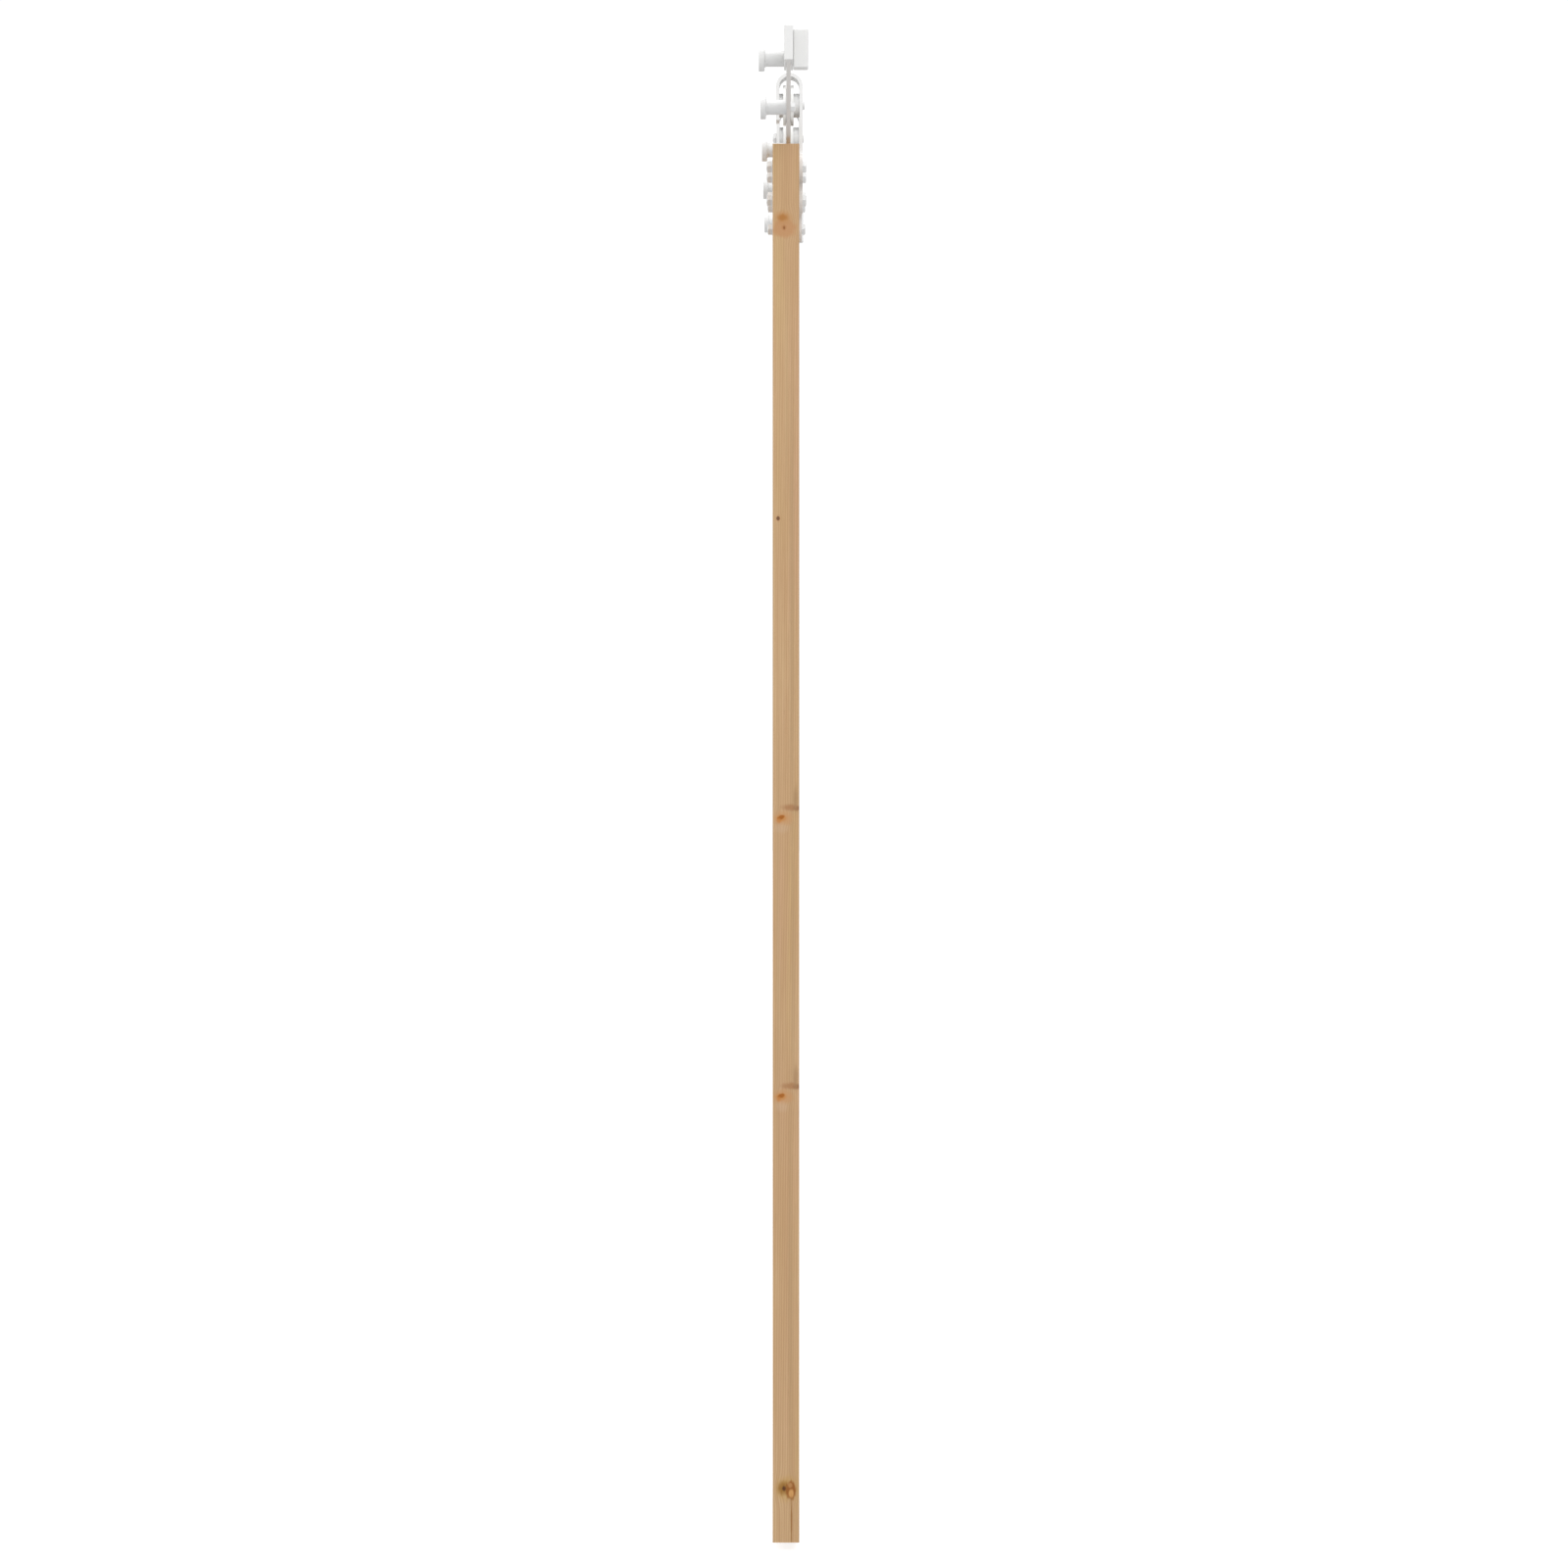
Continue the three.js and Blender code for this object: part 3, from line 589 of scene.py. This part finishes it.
# --------------------------------------------------------------------- hangers
for side, x in HANGERS:
    ro, ri = ARCH_R, ARCH_R - STRAP_T
    yfo, yfi, ybo, ybi = ARCH_Y - ro, ARCH_Y - ri, ARCH_Y + ro, ARCH_Y + ri

    def turn(cy, cz, r, a0, a1, n):
        return [(cy + r * math.cos(math.radians(a0 + (a1 - a0) * i / n)), cz + r * math.sin(math.radians(a0 + (a1 - a0) * i / n)))
                for i in range(n + 1)]

    leg = prism([(ybi, 20.8), (ybo, 20.8), *turn(ARCH_Y, ARCH_Z, ro, 0, 180, 48), (yfo, -20), (yfi, -20),
                 *turn(ARCH_Y, ARCH_Z, ri, 180, 0, 44)], "X", x - 20, x + 20)
    half = [(20, -18), *turn(34, -22, 14, 180, 270, 12), *turn(ARM_X, ARM_Z, 20, 90, -90, 28), *turn(34, -90, 14, 90, 180, 12),
            *turn(0, FOOT_Z, 20, 0, -90, 14)]
    face = [(x + a, b) for a, b in half] + [(x - a, b) for a, b in reversed(half[:-1])]
    plate = prism(face, "Y", yfo, FRONT - 0.02)
    cut(plate, block(x - 90, x + 90, yfi, yfi + 3, -31, 0))
    strap = join(leg, plate)
    cut(strap, rod(5.3, yfo - 2, ybo + 2, x, AXLE_Z, 48),
        *[rod(5.4, yfo - 2, yfi + 2, x + dx, z, 48) for dx, z in ((-ARM_X, ARM_Z), (ARM_X, ARM_Z), (0, FOOT_Z))])
    bm = bmesh.new()
    bm.from_mesh(strap.data)
    bmesh.ops.remove_doubles(bm, verts=bm.verts, dist=1e-6)
    bmesh.ops.dissolve_limit(bm, angle_limit=math.radians(0.5), verts=bm.verts, edges=bm.edges, delimit=set())
    bm.to_mesh(strap.data)
    bm.free()
    done(bevel(strap, 0.7, 3, 40), f"hanger_strap_{side}")

    # grooved wheel with dished sides and a rounded rim
    c, w = AXIS, 8.0
    profile = [(13.2, c + w - 1.5, 0.4), (17, c + w - 1.5, 0.6), (18.5, c + w - 2.6, 0.6), (23, c + w - 2.6, 1.0),
               (25.4, c + w, 0.5), (30.5, c + w, 0.7), (30.5, c + 3.8, 0.5), (25.3, c + 3.55, 0.8),
               (25.3, c - 3.55, 0.8), (30.5, c - 3.8, 0.5), (30.5, c - w, 0.7), (25.4, c - w, 0.5),
               (23, c - w + 2.6, 1.0), (18.5, c - w + 2.6, 0.6), (17, c - w + 1.5, 0.6), (13.2, c - w + 1.5, 0.4)]
    wheel = smooth(lathe(rounded(profile, 5, True), x, AXLE_Z, 128))
    finish_piece(wheel, f"wheel_{side}", nylon(f"wheel_nylon_{side}", (x, AXIS, AXLE_Z)))

    bearing = lathe(rounded([(5.25, c + 4, 0.3), (7.6, c + 4, 0.1), (7.9, c + 3.5, 0.1), (10.9, c + 3.5, 0.1), (11.2, c + 4, 0.1),
                             (13, c + 4, 0.5), (13, c - 4, 0.5), (11.2, c - 4, 0.1), (10.9, c - 3.5, 0.1), (7.9, c - 3.5, 0.1),
                             (7.6, c - 4, 0.1), (5.25, c - 4, 0.3)], 3, True), x, AXLE_Z, 96)
    done(smooth(bearing), f"bearing_{side}")

    rear = lathe(rounded([(5.3, ybi - 0.02, 0.3), (18, ybi - 0.02, 0.3), (18, c + w - 0.4, 0.5), (7.2, c + w - 0.4, 0.4),
                          (7.2, c + 4.3, 0.3), (5.3, c + 4.3, 0.3)], 4, True), x, AXLE_Z, 96)
    done(smooth(rear), f"wheel_spacer_back_{side}")
    fore = lathe(rounded([(5.3, yfi + 0.02, 0.3), (18, yfi + 0.02, 0.3), (18, c - w + 0.4, 0.5), (7.2, c - w + 0.4, 0.4),
                          (7.2, c - 4.3, 0.3), (5.3, c - 4.3, 0.3)], 4, True), x, AXLE_Z, 96)
    done(smooth(fore), f"wheel_spacer_front_{side}")

    # axle: low round head with a hex socket, threaded end
    h = yfo - 0.02
    thread = []
    y = -16.2
    thread += [(0, y), (3.9, y), (4.5, y - 0.6)]
    y -= 0.6
    while y > -22.0:
        thread += [(4.95, y - 0.45), (4.95, y - 0.65), (4.4, y - 1.25)]
        y -= 1.25
    thread += [(4.95, y - 0.6)]
    axle = lathe(thread + rounded([(4.95, y - 0.7), (4.95, h, 0.2), (6.2, h, 0.2), (6.2, yfo - 3.0, 0.9), (0, yfo - 3.0)], 5)[1:], x, AXLE_Z, 96)
    cut(axle, hexagon(5, h - 1.2, h - 4, x, AXLE_Z))
    done(smooth(axle), f"axle_bolt_{side}")

    nut = bevel(hexagon(16, ybo + 0.02, ybo + 5.4, x, AXLE_Z, 0.9), 0.3, 2, 25)
    cut(nut, rod(5.3, ybo - 1, ybo + 7, x, AXLE_Z, 64))
    done(smooth(nut, 40), f"axle_nut_{side}")

# --------------------------------------------------------------- through bolts
for i, (x, z) in enumerate(BOLTS, 1):
    h = ARCH_Y - ARCH_R - 0.02
    head = hexagon(16, h, ARCH_Y - ARCH_R - 5.6, x, z, 1.1)
    thread = [(0, -7.6), (3.9, -7.6), (4.5, -8.2)]
    y = -8.2
    while y > -16.5:
        thread += [(4.95, y - 0.45), (4.95, y - 0.65), (4.4, y - 1.25)]
        y -= 1.25
    shank = lathe(thread + [(4.95, y - 0.6), (4.95, h - 2.5), (0, h - 2.5)], x, z, 64)
    done(smooth(join(bevel(head, 0.25, 2, 25), shank), 40), f"door_bolt_{i}")

    seat = -17.38
    flange = lathe(rounded([(5.35, seat, 0.2), (11, seat, 0.3), (11, seat + 0.8, 0.3), (8.6, seat + 1.9, 0.4), (5.35, seat + 1.9, 0)], 4, True),
                   x, z, 96)
    hexa = hexagon(16, seat + 0.9, -8.2, x, z, 1.0)
    bevel(hexa, 0.25, 2, 25)
    cut(hexa, rod(5.35, seat - 2, seat + 12, x, z, 96))
    done(smooth(join(hexa, flange), 40), f"door_nut_{i}")

# ------------------------------------------------------------------- door leaf
X0, X1 = -282.0, 318.0
INNER0, INNER1 = -192.0, 228.0

EDGE = X0
edge_knots = [
    ((EDGE, -33.5, -150.0), (1.0, 0.10, 0.05), 9.0, None),
    ((EDGE, -25.6, -592.0), (1.0, 0.05, 0.1), 2.6, 0.75),
    ((EDGE, -31.0, -1042.0), (1.0, -0.1, 0.1), 6.0, None),
    ((EDGE, -31.0, -1460.0), (1.0, 0.1, -0.1), 6.0, None),
    ((EDGE, -38.5, -2050.0), (1.0, 0.1, 0.1), 8.0, None),
    ((EDGE + 46, FRONT, -640.0), (0.1, 1.0, 0.15), 9.5, 0.35),
    ((EDGE + 61, FRONT, -1650.0), (-0.1, 1.0, 0.2), 12.0, 0.55),
]
ORANGE = (0.43, 0.195, 0.055)
edge_blobs = [
    # soft round knot under a resin stain
    ((EDGE, -34.5, -157.0), (7.0, 17.5, 13.0), (0.485, 0.250, 0.112), 0.85, 0.30),
    ((EDGE, -33.0, -141.0), (7.0, 12.0, 9.0), (0.470, 0.235, 0.085), 0.75, 0.60),
    ((EDGE, -32.6, -140.5), (7.0, 6.5, 4.6), (0.40, 0.165, 0.038), 0.90, 0.55),
    ((EDGE, -34.5, -155.5), (7.0, 3.2, 3.6), (0.40, 0.165, 0.055), 0.70, 0.55),
    ((EDGE, -34.6, -155.6), (7.0, 1.3, 2.2), (0.20, 0.07, 0.02), 0.80, 0.50),
    # slow streaks of tone down the edge
    ((EDGE, -46.4, -700.0), (9.0, 3.4, 330.0), (0.40, 0.262, 0.135), 0.55, 0.55),
    ((EDGE, -48.0, -1260.0), (9.0, 3.0, 190.0), (0.41, 0.265, 0.138), 0.45, 0.55),
    ((EDGE, -44.5, -1760.0), (9.0, 3.8, 280.0), (0.41, 0.265, 0.132), 0.50, 0.55),
    ((EDGE, -25.5, -1210.0), (9.0, 2.2, 300.0), (0.44, 0.29, 0.150), 0.40, 0.6),
    ((EDGE, -38.5, -400.0), (9.0, 2.0, 160.0), (0.45, 0.30, 0.155), 0.35, 0.6),
]
for z0 in (-1041.0, -1459.0):
    edge_blobs += [
        ((EDGE, -33.0, z0 - 1), (7.0, 13.5, 10.5), (0.515, 0.275, 0.120), 0.75, 0.45),
        ((EDGE, -31.0, z0 - 16), (7.0, 9.0, 7.0), (0.56, 0.39, 0.26), 0.35, 0.60),
        ((EDGE, -30.0, z0 - 1.0), (7.0, 7.2, 4.8), (0.50, 0.215, 0.055), 0.85, 0.50),
        ((EDGE, -27.8, z0 - 1.3), (7.0, 3.2, 2.5), (0.38, 0.125, 0.012), 0.90, 0.45),
        ((EDGE, -30.2, z0 + 0.3), (7.0, 3.8, 2.9), (0.34, 0.105, 0.010), 0.97, 0.40),
        ((EDGE, -32.4, z0 + 1.6), (7.0, 2.8, 2.3), (0.36, 0.115, 0.012), 0.92, 0.45),
        ((EDGE, -27.0, z0 - 5.0), (7.0, 3.2, 3.6), (0.50, 0.20, 0.05), 0.75, 0.50),
        ((EDGE, -46.0, z0 + 15), (8.0, 14.0, 4.4), (0.37, 0.185, 0.08), 0.88, 0.60),
        ((EDGE, -53.5, z0 + 14), (8.0, 4.6, 3.4), (0.27, 0.12, 0.05), 0.85, 0.55),
        ((EDGE, -52.0, z0 + 27), (8.0, 3.4, 17.0), (0.36, 0.215, 0.105), 0.75, 0.60),
    ]
edge_blobs += [
    # pair of knots near the foot, with a fine check below
    ((EDGE, -38.5, -2048.0), (7.0, 15.5, 16.5), (0.47, 0.28, 0.075), 0.65, 0.55),
    ((EDGE, -33.5, -2047.5), (7.0, 8.0, 9.4), (0.29, 0.135, 0.022), 0.92, 0.55),
    ((EDGE, -44.7, -2051.0), (7.0, 7.6, 13.4), (0.27, 0.090, 0.014), 0.95, 0.25),
    ((EDGE, -45.2, -2055.6), (7.0, 3.7, 6.2), (0.58, 0.30, 0.10), 0.92, 0.35),
    ((EDGE, -43.6, -2043.5), (7.0, 3.2, 3.6), (0.44, 0.22, 0.075), 0.85, 0.35),
    ((EDGE, -34.4, -2048.4), (7.0, 2.8, 3.4), (0.085, 0.028, 0.010), 0.92, 0.50),
    ((EDGE, -45.6, -2098.0), (8.0, 1.3, 34.0), (0.29, 0.135, 0.038), 0.88, 0.45),
]

rnd = random.Random(11)


def stray_knots(count, x_range, z_range, upright=True):
    """Knots whose branches run through the thickness, spread along the grain."""
    out = []
    a, b = z_range if upright else x_range
    for k in range(count):
        along = a + (b - a) * (k + 0.25 + 0.5 * rnd.random()) / count
        across = rnd.uniform(*(x_range if upright else z_range))
        centre = (across, -37.4, along) if upright else (along, -37.4, across)
        out.append((centre, (rnd.uniform(-0.15, 0.15), 1.0, rnd.uniform(-0.15, 0.15)), rnd.uniform(4.0, 11.0), rnd.choice((0.15, 0.35, 0.6, 0.85))))
    return out


leaf = {
    "door_stile_left": pine("pine_stile_left", "Z", (X0 + 30, -150.0), 1, edge_knots, edge_blobs, 0.010, 3.4, 1.0, 0.5),
    "door_stile_right": pine("pine_stile_right", "Z", (X1 - 40, 70.0), 2,
                             stray_knots(4, (X1 - 75, X1 - 15), (-1980, -180)) + [((X1, -33.0, -815.0), (1, 0.1, 0.1), 6.5, 0.5)],
                             (), 0.012, 3.2, 0.99),
    "door_top_rail": pine("pine_top_rail", "X", (-96.0, 60.0), 3, stray_knots(2, (-150, 190), (-135, -60), False), (), 0.03, 3.0, 1.02),
    "door_lock_rail": pine("pine_lock_rail", "X", (-1140.0, -140.0), 4, stray_knots(2, (-150, 190), (-1165, -1060), False), (), 0.03, 3.3, 0.98),
    "door_bottom_rail": pine("pine_bottom_rail", "X", (-2060.0, 80.0), 5, stray_knots(3, (-160, 200), (-2100, -1975), False), (), 0.03, 3.5),
}
for i in range(4):
    mid = INNER0 + 105 * (i + 0.5)
    for j, (part, z0, z1) in enumerate((("upper", -1030, -160), ("lower", -1940, -1190))):
        leaf[f"board_{part}_{i + 1}"] = pine(
            f"pine_board_{part}_{i + 1}", "Z", (mid + rnd.uniform(-22, 22), rnd.choice((-1, 1)) * rnd.uniform(55, 110) - 37.4), 10 + i * 2 + j,
            stray_knots(rnd.choice((2, 3)), (mid - 36, mid + 36), (z0, z1)), (), rnd.uniform(0.012, 0.028), rnd.uniform(2.6, 3.6),
            rnd.uniform(0.97, 1.05))
for node, mat in leaf.items():
    ob = from_node(node, 0.5 if node.startswith("board") else 0.9, 2 if node.startswith("board") else 3, 30)
    finish_piece(ob, node, mat)

# --------------------------------------------------- floor, light and the camera
bm = bmesh.new()
for sx_, sy_ in ((-600, -600), (600, -600), (600, 600), (-600, 600)):
    bm.verts.new((sx_, sy_, -2.142))
bm.faces.new(bm.verts)
floor = link_mesh("floor", bm)
fm, fg, fshader, fco = material("floor_pale")
fg.put(fshader.inputs["Base Color"], fg.mix(fg.noise(fco, 3.0, 0.5, 0.002), (0.42, 0.42, 0.418), (0.44, 0.44, 0.438)))
fshader.inputs["Roughness"].default_value = 0.8
fshader.inputs["Emission Color"].default_value = (1, 1, 1, 1)
fshader.inputs["Emission Strength"].default_value = 0.76
fshader.inputs["Specular IOR Level"].default_value = 0.1
floor.data.materials.append(fm)
floor.visible_diffuse = False

world = bpy.data.worlds.new("studio")
scene.world = world
world.use_nodes = True
wt = world.node_tree
for n in list(wt.nodes):
    wt.nodes.remove(n)
wg = Graph(wt)
w_out = wg.node("ShaderNodeOutputWorld")
w_bg = wg.node("ShaderNodeBackground")
wt.links.new(w_bg.outputs[0], w_out.inputs["Surface"])
_, _, up = wg.split(wg.node("ShaderNodeTexCoord").outputs["Generated"])
level = wg.step(up, -0.16, -0.01)
wg.put(w_bg.inputs["Color"], wg.mix(level, (0.62, 0.621, 0.624), (1.06, 1.06, 1.06)))
w_bg.inputs["Strength"].default_value = 1.0


def soft_light(name, place, aim, size, power):
    data = bpy.data.lights.new(name, "AREA")
    data.shape = "DISK"
    data.size = size
    data.energy = power
    ob = bpy.data.objects.new(name, data)
    collection.objects.link(ob)
    ob.location = place
    ob.rotation_euler = (Vector(aim) - Vector(place)).to_track_quat("-Z", "Y").to_euler()
    ob.visible_camera = False
    return ob


soft_light("top", (-0.6, -0.4, 3.2), (0.0, -0.04, -0.2), 2.6, 45)
soft_light("front", (-5.6, -0.9, 0.5), (-0.3, -0.04, -0.9), 2.4, 60)
soft_light("back", (1.2, 4.6, 1.2), (0.0, -0.04, -0.7), 2.4, 55)

cam_data = bpy.data.cameras.new("camera")
cam = bpy.data.objects.new("camera", cam_data)
collection.objects.link(cam)
cam.location = (-7.718, -0.0374, -1.079)
cam.rotation_euler = (math.radians(90), 0, math.radians(-90))
cam_data.sensor_width = 36.0
cam_data.lens = 113.74
cam_data.shift_x = -0.00125
cam_data.shift_y = 0.0375
cam_data.clip_end = 2000
scene.camera = cam
scene.view_settings.view_transform = "Standard"
scene.view_settings.look = "None"

bpy.context.view_layer.update()
